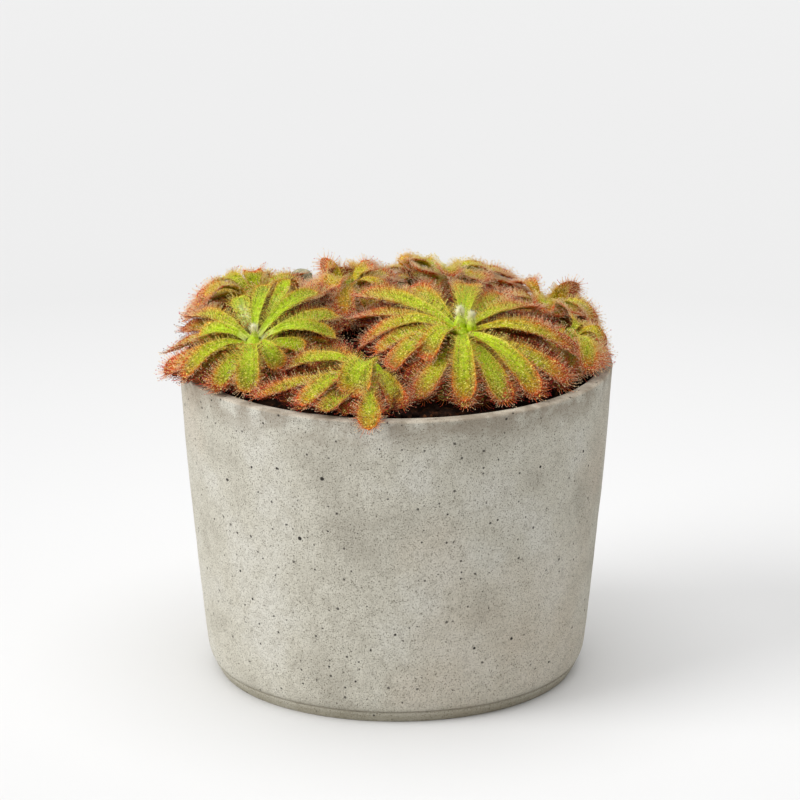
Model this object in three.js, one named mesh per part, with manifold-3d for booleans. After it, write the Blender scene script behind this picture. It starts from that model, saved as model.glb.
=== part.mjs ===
// A clump of spoon-leaved sundews (Drosera) in a small cast concrete pot.
// Units are millimetres and +Z is up. The origin is on the ground under the middle of the pot, and -Y is
// the front. Each rosette is one plant: a short stem standing in a plain hole in the soil, a crown of buds,
// and spoon-shaped leaves whose margins carry pointed tentacles.
import * as THREE from "three";
import { mergeVertices } from "three/addons/utils/BufferGeometryUtils.js";
import Module from "manifold-3d";

const wasm = await Module();
wasm.setup();

// ---------- driving dimensions ----------
const GAP = 0.3; // clearance between pieces that touch

const POT = {
  height: 80.7,
  rimRadius: 55,
  baseRadius: 47.8, // of the wall's line, carried down to the ground
  bow: 0.6, // how far the wall swells past a straight cone
  wall: 3.6,
  floor: 7, // thickness of the bottom
  footRadius: 45.7, // of the face that it stands on
  bandRadius: 47.1, // of the foot band's upper edge
  bandHeight: 2.6,
  cornerHeight: 7.5, // where the rounded lower corner meets the wall
  edge: 0.5, // bevel of the rim's two edges
  floorEdge: 3, // how far the floor is drawn in from the wall
  rings: [30, 56], // heights where the curved wall changes slope
  segments: 48,
};

const SOIL = {
  drop: 5.5, // below the rim, where the soil meets the wall
  mound: 10, // rise from there to the middle
  lump: 0.5, // height of its lumps
  rings: [43, 36, 28, 20, 11], // radii where the mound changes slope
  lumpyTo: 38, // radius where the lumps begin to fade out towards the wall
  plainFrom: 47, // radius where they are gone
  segments: 32,
};

const LEAF = {
  thickness: 0.7,
  cup: 0.16, // rise of the margins, as a share of the half width
  broadAt: 0.85, // where the blade reaches its full width
  roundFrom: 0.86, // where its round end begins
  tipShare: 0.4, // of the full width at its very tip
  roll: 0.3, // range of its turn about its own length, radians
  sway: 2, // range of its sideways bend
  rootRadius: 2, // from the stem's axis, where a leaf begins inside the stem
  rootDrop: 0.4, // below the crown
  rootShare: 0.24, // of the full width there
  tierStep: 1.6, // leaves leave the crown in an upper and a lower tier, turn about
  tierSag: 1.4, // the lower tier's arches are this much flatter
  midrib: [0, 0.35, 0.7, 1], // stations along the leaf
};

const TENTACLE = {
  places: [0.46, 0.67, 0.87], // along each margin
  base: 0.8,
  length: 2.8,
  shortest: 0.6, // share of that length at the leaf's root
  lift: 0.3, // of its point above the blade, as a share of its length
  lean: 0.3, // of its point towards the leaf's tip, as a share of its length
  tipLean: 0.85, // the same for the pair on the tip
  tipSpread: 0.35, // how far apart that pair stands
};

const STEM = {
  radius: 2,
  crownRadius: 3, // where the leaves are rooted
  crownDepth: 3.2,
  depth: 12, // into the soil
  shoulder: 1, // height of the slope from the stem out to the crown
  topShare: 0.8, // of the crown's radius, at its top
  dome: 0.8, // rise of its top
  sides: 6,
};

const BUD = {
  radius: 1.1,
  sink: 0.5, // below the crown's height
};

const CURL = {
  flat: 0.7, // height of a curled tip, as a share of its width
};

// ---------- the plants ----------
// A rosette stands at crown = [x, y, height above the rim] and its face leans by lean = [x, y] for 1 up.
// Each leaf is [x, y, z, arch, turn]: where its tip lies from the pot's axis and the rim's plane, how far it
// arches above the straight line to the tip and, where it turns about its own length, by how many radians.
// width is the blade's. Each bud is [x, y, height]. Each curl is [leaf, radius]: the place in the list of a
// leaf whose tip has curled up, and the knob's radius.
const ROSETTES = [
  {
    name: "rosette_left",
    crown: [-35.6, -14, 9.3],
    lean: [-0.1, -0.36],
    width: 5.6,
    buds: [[0.2, 0, 3.6]],
    leaves: [
      [-36.5, -35.2, 1.5, 4],
      [-43.8, -31, 1.6, 3.5],
      [-52.8, -22.2, 1.7, 3.5],
      [-57.8, -15.6, 0.8, 4],
      [-49.4, -8.6, 8.8, 2.5],
      [-57, -3, 3, 4.5],
      [-51.6, 3.6, 10.6, 3],
      [-39.8, 7.5, 14.4, 2],
      [-33.2, 9, 17, 1.5],
      [-27.8, 9, 18.6, 1.5],
      [-20.3, 6, 16.2, 2.5],
      [-15, 0, 11.6, 3.5],
      [-15.4, -9.5, 8.6, 3.5],
      [-22.8, -17, 7.5, 2.5],
      [-28.6, -24.5, 4.5, 3],
      [-53.4, 2, 8, 3],
    ],
  },
  {
    name: "rosette_right",
    crown: [16.4, -16, 12.4],
    lean: [0, -0.3],
    width: 6.2,
    buds: [
      [-0.4, 1.2, 5.4],
      [2.4, 0.4, 4.4],
    ],
    leaves: [
      [16.9, -39.8, 0.6, 5],
      [26.9, -40.8, 0.7, 4.5],
      [34.6, -36.8, 1.5, 4],
      [42.4, -29, 2.6, 4],
      [45.5, -15.5, 6, 4],
      [39.6, -4.5, 9.6, 3.5],
      [35.2, 4.8, 12.4, 2.5],
      [27, 9, 14.8, 2],
      [18.4, 10.5, 16.8, 1.5],
      [4, 9, 16.8, 2.5],
      [-9, 7, 15.4, 2.5],
      [-10.6, 0, 10.8, 4.5],
      [-8.6, -8.5, 6.2, 5],
      [-5, -16.5, 6.4, 5],
      [-1.8, -25.5, 4.4, 4],
      [5.4, -40, 1.2, 2.4],
      [7.2, -27, 7.4, 4.5],
    ],
  },
  {
    name: "rosette_front",
    crown: [-5.4, -27.5, 6.2],
    lean: [-0.1, -0.3],
    width: 6,
    buds: [],
    leaves: [
      [-27.2, -22.5, 4.4, 3],
      [-34.8, -38, 1.3, 3],
      [-22.8, -46.6, 1.4, 3],
      [-17.3, -51.8, 1.6, 3],
      [-10.4, -45.5, 3.4, 6.5],
      [-6.4, -58, -1.2, 6],
      [1.2, -48, 1.2, 2.5],
      [-17, -13, 5.4, 1.5],
    ],
  },
  {
    name: "rosette_back_left",
    crown: [-36, 19, 12],
    lean: [-0.2, -0.05],
    width: 6,
    buds: [],
    curls: [[5, 3]],
    leaves: [
      [-53, 12, 7.4, 3.5],
      [-51.6, 20, 8.6, 4],
      [-46.8, 29, 10.8, 4],
      [-40, 36, 9.6, 4],
      [-36.4, 22.5, 17, 1.5],
      [-24.6, 30, 13.8, 3.5],
      [-33, 42.5, 5, 5.5],
      [-45, 39, 3, 5],
      [-24, 22, 13.5, 3],
      [-53, 30, 3, 6],
      [-50, 10, 11.5, 4.5],
      [-28, 12, 7, 4],
      [-25, 40, 2.5, 6],
    ],
  },
  {
    name: "rosette_middle",
    crown: [-12.6, 19, 15.5],
    lean: [-0.05, -0.15],
    width: 6,
    buds: [],
    leaves: [
      [-18.9, 21.2, 16.7, 1.1, -0.9],
      [-14.4, 22, 18.6, 0.5],
      [-6, 21.5, 18.4, 1],
      [-0.5, 21.5, 15.5, 3],
      [-6, 33, 12, 4],
      [-18, 36.5, 9, 5],
      [-13, 3, 8, 3.5],
      [-21.5, 8, 14, 3.5],
      [-23.5, 11, 11, 3.5],
      [-5.5, 8.5, 8.5, 4],
      [-9, 37, 4, 5],
      [-25.5, 25, 7, 4],
      [0.5, 12.5, 9, 4],
      [0.4, 24, 14.6, 2.8],
      [-17.3, 9.1, 14.8, 3],
    ],
  },
  {
    name: "rosette_back",
    crown: [12, 28, 14.8],
    lean: [0.1, 0],
    width: 6,
    buds: [[0, 0, 3]],
    curls: [[0, 2.1]],
    leaves: [
      [2.6, 25, 19.4, 2],
      [6.4, 17.5, 18.6, 2],
      [14, 16.5, 17.4, 2.5],
      [23.5, 20, 15, 3],
      [25, 31, 13.6, 3],
      [30.6, 31, 13, 4],
      [24, 44, 5.5, 5],
      [11.5, 49.5, 4, 6],
      [-1, 47.5, 4, 6],
      [-12, 46, 4, 7],
      [3, 36, 12, 4],
      [9, 17, 10, 5],
      [22, 20, 10.5, 4],
      [34, 27, 10.4, 3.5],
      [29, 44, 2, 6],
    ],
  },
  {
    name: "rosette_right_back",
    crown: [38, 17, 9.6],
    lean: [0.2, -0.05],
    width: 5.6,
    buds: [],
    leaves: [
      [45, 18.5, 11, 2, 1],
      [45.4, 6.5, 10.2, 3.5],
      [50.6, 9, 6.4, 4],
      [50.6, 19, 4.4, 4],
      [45, 29.5, 3.6, 4.5],
      [38, 37, 3.4, 5],
      [32.4, 24, 13.6, 2.5],
      [30.5, 8, 9, 4],
      [50.5, 25, 2.5, 5],
      [28, 14, 12, 3.5],
      [37, 6.5, 10.6, 3],
    ],
  },
  {
    name: "rosette_far_right",
    crown: [44.2, -3, 8.6],
    lean: [0.3, -0.25],
    width: 5.4,
    buds: [],
    leaves: [
      [47.6, -20, 2.8, 3.2],
      [51.4, -11.5, 2.6, 3.5],
      [52.2, -4, 3.4, 3.2],
      [51.2, 3, 4.6, 3],
      [41, -20, 0.4, 2],
      [34, -10, 2.5, 3],
      [46.6, 5.6, 7.4, 1.5],
    ],
  },
];

// ---------- shared helpers ----------
const smooth = (x) => {
  const t = Math.min(1, Math.max(0, x));
  return t * t * (3 - 2 * t);
};

// A repeatable draw between -0.5 and 0.5.
const draw = (seed) => {
  const s = Math.sin(seed * 12.9898 + 4.1414) * 43758.5453;
  return s - Math.floor(s) - 0.5;
};

// A closed geometry as a manifold-3d solid.
function solidOf(geometry) {
  const bare = new THREE.BufferGeometry();
  bare.setAttribute("position", geometry.getAttribute("position"));
  if (geometry.index) bare.setIndex(geometry.index);
  const merged = mergeVertices(bare, 1e-4);
  return new wasm.Manifold(
    new wasm.Mesh({
      numProp: 3,
      vertProperties: new Float32Array(merged.attributes.position.array),
      triVerts: new Uint32Array(merged.index.array),
    }),
  );
}

// A manifold-3d solid as a geometry.
function geometryOf(solid) {
  const mesh = solid.getMesh();
  const geometry = new THREE.BufferGeometry();
  geometry.setAttribute("position", new THREE.BufferAttribute(new Float32Array(mesh.vertProperties), 3));
  geometry.setIndex(new THREE.BufferAttribute(new Uint32Array(mesh.triVerts), 1));
  geometry.computeVertexNormals();
  return geometry;
}

// A body turned about Z from [radius, height] pairs.
function turned(profile, segments) {
  const points = profile.map(([radius, height]) => new THREE.Vector2(radius, height));
  return new THREE.LatheGeometry(points, segments).rotateX(Math.PI / 2);
}

// ---------- pot ----------
const wallRadius = (z) => {
  const t = z / POT.height;
  return POT.baseRadius + (POT.rimRadius - POT.baseRadius) * t + POT.bow * 4 * t * (1 - t);
};

const innerRadius = (z) => wallRadius(z) - POT.wall;

function potGeometry() {
  const { height, floor, footRadius, bandRadius, bandHeight, cornerHeight, edge } = POT;
  const cornerMiddle = (bandHeight + cornerHeight) / 2;
  const outside = [cornerHeight, ...POT.rings].map((z) => [wallRadius(z), z]);
  const inside = POT.rings.map((z) => [innerRadius(z), z]).reverse();
  return turned(
    [
      [0, 0],
      [footRadius, 0],
      [bandRadius, bandHeight],
      [(bandRadius + wallRadius(cornerMiddle) * 2) / 3, cornerMiddle],
      ...outside,
      [wallRadius(height), height - edge],
      [wallRadius(height) - edge, height],
      [innerRadius(height) + edge, height],
      [innerRadius(height), height - edge],
      ...inside,
      [innerRadius(floor) - POT.floorEdge, floor],
      [0, floor],
    ],
    POT.segments,
  );
}

// ---------- soil ----------
const soilTop = (radius) => {
  const share = Math.min(1, radius / innerRadius(POT.height));
  return POT.height - SOIL.drop + SOIL.mound * (1 - share * share);
};

// Two crossed waves make its uneven top.
const lumpAt = (x, y) => {
  const broad = Math.sin(x * 0.55 + 1) * Math.cos(y * 0.48);
  const fine = Math.sin(x * 1.3 - y * 1.1);
  return SOIL.lump * (broad + fine / 2);
};

function soilGeometry() {
  const edgeHeight = soilTop(innerRadius(POT.height));
  const edgeRadius = innerRadius(edgeHeight) - GAP;
  const bottom = [innerRadius(POT.floor) - POT.floorEdge - GAP, POT.floor + GAP];
  const sides = POT.rings.map((z) => [innerRadius(z) - GAP, z]);
  const top = [edgeRadius, ...SOIL.rings].map((r) => [r, soilTop(r)]);
  const geometry = turned([[0, bottom[1]], bottom, ...sides, ...top, [0, soilTop(0)]], SOIL.segments);
  const position = geometry.getAttribute("position");
  for (let i = 0; i < position.count; i++) {
    const [x, y, z] = [position.getX(i), position.getY(i), position.getZ(i)];
    const fade = 1 - smooth((Math.hypot(x, y) - SOIL.lumpyTo) / (SOIL.plainFrom - SOIL.lumpyTo));
    if (z > edgeHeight - 1) position.setZ(i, z + lumpAt(x, y) * fade);
  }
  return geometry;
}

// ---------- leaves ----------
// Share of the full width at t along the leaf: a narrow stalk, a broad spoon and a round end.
const spoon = (t) => {
  const body = LEAF.rootShare + (1 - LEAF.rootShare) * smooth(t / LEAF.broadAt);
  const end = Math.max(0, (t - LEAF.roundFrom) / (1 - LEAF.roundFrom));
  return body * Math.sqrt(1 - (1 - LEAF.tipShare ** 2) * end * end);
};

// A leaf in its rosette's own frame: the curve of its midrib from the crown to the tip, its width and roll.
function leafOf(rosette, [x, y, z, arch, turn = 0], index) {
  const [crownX, crownY, crownZ] = rosette.crown;
  const tier = index % 2;
  const axis = new THREE.Vector3(rosette.lean[0], rosette.lean[1], 1).normalize();
  const tip = new THREE.Vector3(x - crownX, y - crownY, z - crownZ);
  const heading = tip.clone().addScaledVector(axis, -tip.dot(axis)).normalize();
  const across = new THREE.Vector3().crossVectors(axis, heading);
  const base = heading.clone().multiplyScalar(LEAF.rootRadius);
  base.z -= LEAF.rootDrop + LEAF.tierStep * tier;
  const middle = base.clone().lerp(tip, 0.5);
  middle.addScaledVector(axis, 2 * (arch - LEAF.tierSag * tier));
  middle.addScaledVector(across, LEAF.sway * draw(index + crownX));
  return {
    curve: new THREE.QuadraticBezierCurve3(base, middle, tip),
    length: base.distanceTo(tip),
    across,
    width: rosette.width,
    roll: LEAF.roll * draw(index * 3 + crownY) + turn,
  };
}

// The blade's frame at t: a point on its midrib, and the directions along it, to its left and up.
function bladeFrame(leaf, t) {
  const middle = leaf.curve.getPoint(t);
  const along = leaf.curve.getTangent(t);
  const up = new THREE.Vector3().crossVectors(along, leaf.across).normalize();
  const left = new THREE.Vector3().crossVectors(up, along);
  left.applyAxisAngle(along, leaf.roll);
  up.applyAxisAngle(along, leaf.roll);
  const half = (leaf.width / 2) * spoon(t);
  return { middle, along, left, up, half };
}

// The point of the marginal tentacle at t. side is 1 on the left margin and -1 on the right, or less on the
// leaf's tip, and lean is how far it points along the leaf.
function tentaclePoint(leaf, t, side, lean) {
  const { middle, along, left, up, half } = bladeFrame(leaf, t);
  const reach = TENTACLE.length * (TENTACLE.shortest + (1 - TENTACLE.shortest) * t);
  return middle
    .clone()
    .addScaledVector(left, side * (half + reach))
    .addScaledVector(along, reach * lean)
    .addScaledVector(up, reach * TENTACLE.lift);
}

// The triangles between an inner and an outer row of pairs, which both run from the root to the tip.
function fan(inner, outer, face) {
  let [i, j] = [0, 0];
  while (i < inner.length - 1 || j < outer.length - 1) {
    const [nextInner, nextOuter] = [inner[i + 1], outer[j + 1]];
    if (!nextOuter || (nextInner && nextInner.t < nextOuter.t)) {
      face(inner[i], nextInner, outer[j]);
      i += 1;
    } else {
      face(inner[i], nextOuter, outer[j]);
      j += 1;
    }
  }
}

// A blade with both faces split alike: a fan between its midrib and each margin, and a pyramid for each
// tentacle. A pair is a point of the upper face with the one under it.
function leafGeometry(leaf) {
  const positions = [];
  const triangles = [];
  const vertex = (point) => positions.push(point.x, point.y, point.z) / 3 - 1;
  const corners = (a, b) => [a.top, b.top, b.low, a.low];
  const wall = ([a, b, c, d]) => triangles.push(a, b, c, a, c, d);
  const pyramid = ([a, b, c, d], point) => triangles.push(a, b, point, b, c, point, c, d, point, d, a, point);

  const pairAt = (t, side) => {
    const { middle, left, up, half } = bladeFrame(leaf, t);
    const high = middle.clone().addScaledVector(left, side * half);
    high.addScaledVector(up, Math.abs(side) * half * LEAF.cup);
    return { t, top: vertex(high), low: vertex(high.clone().addScaledVector(up, -LEAF.thickness)) };
  };

  const step = TENTACLE.base / 2 / leaf.length;
  const stations = [0, ...TENTACLE.places.flatMap((t) => [t - step, t + step]), 1];
  const [left, midrib, right] = [
    stations.map((t) => pairAt(t, 1)),
    LEAF.midrib.map((t) => pairAt(t, 0)),
    stations.map((t) => pairAt(t, -1)),
  ];

  for (const [side, margin] of [[1, left], [-1, right]]) {
    const ordered = (list) => (side > 0 ? list : list.reverse());
    fan(midrib, margin, (a, b, c) => {
      const [p, q, r] = ordered([a, b, c]);
      triangles.push(p.top, q.top, r.top, r.low, q.low, p.low);
    });
    for (let k = 0; k < margin.length - 1; k++) {
      const base = corners(...ordered([margin[k], margin[k + 1]]));
      const t = TENTACLE.places[(k - 1) / 2]; // a tentacle stands on every other stretch
      if (t) pyramid(base, vertex(tentaclePoint(leaf, t, side, TENTACLE.lean)));
      else wall(base);
    }
  }

  wall(corners(midrib[0], left[0]));
  wall(corners(right[0], midrib[0]));
  const [leftTip, middleTip, rightTip] = [left, midrib, right].map((pairs) => pairs[pairs.length - 1]);
  const tipPoint = (side) => vertex(tentaclePoint(leaf, 1, side, TENTACLE.tipLean));
  pyramid(corners(leftTip, middleTip), tipPoint(TENTACLE.tipSpread));
  pyramid(corners(middleTip, rightTip), tipPoint(-TENTACLE.tipSpread));

  const geometry = new THREE.BufferGeometry();
  geometry.setAttribute("position", new THREE.Float32BufferAttribute(positions, 3));
  geometry.setIndex(triangles);
  return geometry;
}

// ---------- crown and stem ----------
function budGeometry([x, y, height]) {
  const bud = new THREE.SphereGeometry(1, 5, 4).rotateX(Math.PI / 2);
  return bud.scale(BUD.radius, BUD.radius, height / 2).translate(x, y, height / 2 - BUD.sink);
}

// A leaf's curled tip, as a knob.
function curlGeometry(rosette, [index, radius]) {
  const tip = leafOf(rosette, rosette.leaves[index], index).curve.getPoint(1);
  const knob = new THREE.SphereGeometry(1, 6, 4).rotateX(Math.PI / 2);
  return knob.scale(radius, radius, radius * CURL.flat).translate(tip.x, tip.y, tip.z);
}

// From the crown down to the foot of the hole that the stem stands in.
const stemLength = ({ crown: [x, y, z] }) => POT.height + z - soilTop(Math.hypot(x, y)) + STEM.depth;

function stemGeometry(length) {
  return turned(
    [
      [0, -length],
      [STEM.radius, -length],
      [STEM.radius, -STEM.crownDepth - STEM.shoulder],
      [STEM.crownRadius, -STEM.crownDepth],
      [STEM.crownRadius * STEM.topShare, 0],
      [0, STEM.dome],
    ],
    STEM.sides,
  );
}

function holeGeometry(length) {
  const radius = STEM.radius + GAP;
  const foot = -length - GAP;
  return turned([[0, foot], [radius, foot], [radius, 0], [0, 0]], STEM.sides);
}

function rosetteSolid(rosette) {
  const leaves = rosette.leaves.map((row, index) => solidOf(leafGeometry(leafOf(rosette, row, index))));
  const buds = rosette.buds.map((row) => solidOf(budGeometry(row)));
  const curls = (rosette.curls ?? []).map((row) => solidOf(curlGeometry(rosette, row)));
  const stem = solidOf(stemGeometry(stemLength(rosette)));
  const fused = wasm.Manifold.union([stem, ...leaves, ...buds, ...curls]);
  const shells = fused.decompose().filter((shell) => shell.volume() > 0);
  return wasm.Manifold.union(shells); // without the small hollows that fusing seals
}

// The soil with a plain hole for each stem.
function soilSolid() {
  return ROSETTES.reduce((soil, rosette) => {
    const hole = solidOf(holeGeometry(stemLength(rosette)));
    return soil.subtract(hole.translate(crownPlace(rosette)));
  }, solidOf(soilGeometry()));
}

// ---------- assembly ----------
const concrete = new THREE.MeshStandardMaterial({ color: 0xc2bdb2, roughness: 0.9, metalness: 0 });
const peat = new THREE.MeshStandardMaterial({ color: 0x2a1c14, roughness: 0.95, metalness: 0 });
const leafTissue = new THREE.MeshStandardMaterial({ color: 0xa9b53a, roughness: 0.45, metalness: 0 });

const crownPlace = ({ crown: [x, y, z] }) => [x, y, POT.height + z];

const plant = new THREE.Group();

function addPiece(name, geometry, material, place = [0, 0, 0]) {
  const mesh = new THREE.Mesh(geometry, material.clone());
  mesh.name = name;
  mesh.position.set(...place);
  plant.add(mesh);
}

addPiece("pot", potGeometry(), concrete);
addPiece("soil", geometryOf(soilSolid()), peat);
for (const rosette of ROSETTES) {
  addPiece(rosette.name, geometryOf(rosetteSolid(rosette)), leafTissue, crownPlace(rosette));
}

export default plant;
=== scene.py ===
"""Looks of a pot of sundews: cast concrete, peat, and every leaf with its comb of glandular hairs.

Shapes are worked out in millimetres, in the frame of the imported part, and mesh_object() turns them into
metres. Each rosette follows the same leaf tables and curves as the part's source, so that a fine leaf lies
where its plain solid lies.
"""

import itertools
import math
from types import SimpleNamespace as Values

import bpy
import numpy as np
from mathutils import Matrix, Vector, noise

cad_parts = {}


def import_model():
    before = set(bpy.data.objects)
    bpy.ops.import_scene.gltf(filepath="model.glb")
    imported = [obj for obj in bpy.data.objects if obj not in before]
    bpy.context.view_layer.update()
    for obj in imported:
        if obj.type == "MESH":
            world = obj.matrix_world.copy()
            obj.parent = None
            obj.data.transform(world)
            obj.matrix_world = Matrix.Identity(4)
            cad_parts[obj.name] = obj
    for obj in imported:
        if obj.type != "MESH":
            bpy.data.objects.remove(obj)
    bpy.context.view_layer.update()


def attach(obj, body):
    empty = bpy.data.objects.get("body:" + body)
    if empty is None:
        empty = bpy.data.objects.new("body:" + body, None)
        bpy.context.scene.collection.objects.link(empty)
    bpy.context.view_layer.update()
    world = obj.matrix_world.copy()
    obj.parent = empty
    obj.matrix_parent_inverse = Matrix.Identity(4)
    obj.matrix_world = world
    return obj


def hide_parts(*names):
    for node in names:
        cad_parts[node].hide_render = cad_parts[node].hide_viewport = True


MM = 0.001
GAP = 0.3  # clearance between soil and pot
HUB = 0.02  # radius of the ring that closes a turned body at its axis
UP = np.array([0.0, 0.0, 1.0])
GOLDEN_TURN = math.pi * (3 - 5**0.5)  # from one hair or leaf to the next
SCATTER = (0.7548777, 0.5698403)  # steps of a sequence of evenly scattered places
BLADE, HAIR, SILKEN = range(3)  # the plant's materials
WITHERED, DRIED = 2.0, 3.0  # values of ripeness past red
YOUNG_HEART, OLD_HEART = [0.22, 0.3, 0.2], [0.4, 0.2, 0.7]  # looks of a stem

# ---- pot and soil, as in the part's source ----
POT = Values(
    height=80.7, rim_radius=55.0, base_radius=47.8, bow=0.6, wall=3.6, floor=7.0, foot_radius=45.7,
    band_radius=47.1, band_height=2.6, corner_height=7.5, floor_edge=3.0,
    edge=0.6,  # rounding of the rim's two edges
    outer_edge=0.9,  # depth below the rim where the plain wall begins
    swell=0.12, swell_size=22.0,  # unevenness of the mould
    ripple=0.05, ripple_size=5.0,  # and a finer one
    rings=34, segments=144,
)
SOIL = Values(
    drop=5.5, mound=10.0,
    side_rings=(30, 60),  # their heights
    lump=0.9, lump_size=9.0, clod=0.7, clod_size=2.6, crumbs=750, crumb_size=(0.25, 1.0),
    rings=38, segments=110,
)

# ---- leaves and hairs ----
LEAF = Values(
    thickness=0.62, cup=0.16,
    root_cup=1.4,  # more of it at the root
    broad_at=0.85, round_from=0.86, root_share=0.28, roll=0.3, sway=2.0, root_radius=2.0, root_drop=0.4,
    tier_step=1.6, tier_sag=1.4,
    vary=0.14,  # range of its width, as a share
    groove=0.16,  # depth of the groove along its middle
    groove_width=0.16,  # of the half width
    wave=0.1,  # height of its wavy margins
    wave_rate=19,  # radians of the wave along the leaf
    rim=0.3,  # height of the rolled margin
    rim_width=0.13,  # of the half width
    rim_full=0.4,  # how far along the leaf it is full
    crowding=1.5,  # of its stations towards the tip
    stations=22, under_stations=9,  # along it, fewer if it is older and mostly hidden
    upper=13, lower=4,  # points across its upper and lower face
    lower_reach=0.94,  # of the half width
)
MARGIN_HAIR = Values(
    spacing=0.4, stray=0.15,
    first=(0.1, 0.4),  # range of the first one's place
    start=0.12,  # how far along the leaf they begin
    inset=0.97,  # of the half width, at their roots
    sink=0.12, length=2.4,
    root_length=0.55,  # share of it at the leaf's root
    vary=(0.75, 1.15), forward=0.2, lift=(0.1, 0.7), scatter=0.11,
    curl=0.5, curl_scatter=0.2,  # upwards, past the joint
    redder=0.08,  # than the blade
    radius=0.075, bead=0.15,
    joint=0.55,  # how far along it bends
)
FACE_HAIR = Values(
    per_mm2=6.4,
    fill=0.75,  # a blade's area, of its length times its width
    start=0.1, end=0.985,
    reach=0.95,  # of the half width
    crowding=(0.6, 0.7),  # towards the tip and the margins
    fewest=0.3,  # share of them left near the root
    middle=0.65,  # share of the others left along the middle
    sink=0.05, length=0.95, root_length=0.35,
    margin_length=0.6,  # more of it towards the margins
    vary=(0.6, 1.2), lift=0.8, outward=0.95, forward=0.9, scatter=0.25, curl_scatter=0.15,
    paler=0.12,  # than the margin's hairs: a higher tone, with more painted glints
    radius=0.075, bead=0.12, joint=0.0,
)
SILK = Values(
    per_mm=70,  # of a bud's height
    crowding=0.18,  # towards the bud's top
    length=1.3, vary=(0.4, 1.3), scatter=0.4, curl_scatter=0.3, radius=0.07, bead=0.05, joint=0.0,
)
BUD = Values(slim=0.32, sink=0.5, fullness=1.8, rings=7, sides=10)
CURL = Values(flat=0.7, rough=0.06, rough_size=1.6, rings=9, sides=14, hairs=140, hair_length=0.5)
STEM = Values(
    radii=(1.2, 2.6, 3.0, 2.4, 2.1, 2.0, 1.9, 1.8, 1.7),  # from its top down
    top=0.4,  # above the crown
    foot=-8.0,  # from the rim's plane
    sides=14,
)

# Ripeness runs from 0, a pale root, through lime to red at 1.
RIPE = Values(
    fresh=0.22,  # of a green leaf
    blushed=0.42,  # more all over a fully blushed one
    tip_from=0.68, tip=(0.12, 0.5),  # more at the tip, of a green leaf and with its blush
    edge_from=0.35, edge=(0.22, 0.36),  # more at the margins, likewise
    root=0.34,  # how far its pale root reaches
)
# How dark blades and hairs are painted: a random tone, and painted shade under other leaves and in the
# hollow of a tip.
DARK = Values(
    tone=0.15,  # range from leaf to leaf
    hollow_from=0.55, hollow=(0.2, 0.3),  # painted shade in the hollow of the tip, and its range
    under_margin=0.6, under_face=0.8,  # painted shade in an older leaf's hairs, by its shade
)

# Layers of older leaves under the others: how much lower, how far they reach, how much redder, how much
# painted shade darkens them, where they lie between two leaves (0 is under the first) and their share of
# hairs.
UNDER_OPEN = [
    Values(drop=3.4, reach=0.9, arch=2.2, redder=0.3, shade=0.85, between=0.5, hair_share=0.4),
    Values(drop=6.0, reach=1.02, arch=2.5, redder=0.45, shade=0.2, between=0.0, hair_share=0.34),
]
UNDER_DENSE = [
    Values(drop=1.0, reach=0.95, arch=3.0, redder=0.1, shade=0.0, between=0.5, hair_share=0.55),
    Values(drop=4.2, reach=0.82, arch=2.0, redder=0.2, shade=0.35, between=0.0, hair_share=0.4),
]
CLEAR = Values(soil=1.6, rim=0.9, rim_from=43.0, rim_to=48.0)  # of older leaves above soil and rim
SKIRT = Values(
    leaves=11,
    stray=0.3,  # radians from their even turns
    root_drop=(1.6, 3.2),  # below the crown
    above_soil=(0.3, 1.4), length=11.0, reach=(0.6, 1.0), width=3.4, vary=(0.6, 1.2),
    bulge=1.5,  # outwards
    arch=0.25,  # of their height
    roll=0.7, blush=0.5, stations=8,
)

# ---- colours, as 0 to 255 screen values ----
CONCRETE = Values(
    clouds=[(0.34, (184, 179, 165)), (0.5, (204, 200, 186)), (0.66, (212, 209, 198))],
    stain=(204, 188, 168), mottle=(162, 156, 142),
    sand=[(0.33, (132, 129, 122)), (0.42, (238, 237, 235)), (0.56, (255, 255, 255))],
    # The rim colour is painted light on the rim's top face.
    speckle=(146, 140, 128), rim=(206, 186, 162), smudge=(132, 118, 100),
    # band, foot and pore are painted shade: in the corner above the band, on the downward foot and in the
    # pores.
    band=(110, 104, 92), foot=(126, 118, 94), pore=(34, 30, 26),
)
PEAT = Values(
    # The ground colours are the peat's own dark colour, darkened further as painted shade.
    ground=[(0.3, (16, 10, 6)), (0.55, (44, 25, 14)), (0.75, (100, 58, 32))],
    fibre=(146, 92, 52),
)
BLADE_COLOURS = Values(  # the first three by ripeness
    face=[
        (0.0, (236, 238, 184)), (0.1, (216, 228, 110)), (0.22, (182, 212, 22)), (0.38, (184, 196, 22)),
        (0.54, (210, 164, 34)), (0.7, (226, 124, 36)), (0.85, (208, 78, 38)), (1.0, (152, 46, 34)),
    ],
    edge=[(0.2, (234, 230, 96)), (0.45, (238, 184, 60)), (0.7, (230, 100, 44))],
    shadow=[(0.2, (70, 92, 8)), (0.45, (84, 62, 10)), (0.8, (66, 22, 12))],
    # Of these three, the second is painted shade along two lengthwise folds of the blade.
    midrib=(104, 130, 16), crease=(96, 108, 10), vein=(96, 100, 12),
    # The pale specks are painted glints of the drops.
    dark_speck=(92, 62, 10), pale_speck=(250, 242, 120),
    withered=((46, 28, 16), (92, 58, 30)),
    dried=[(0.35, (116, 114, 90)), (0.65, (190, 186, 156))],
)
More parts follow.
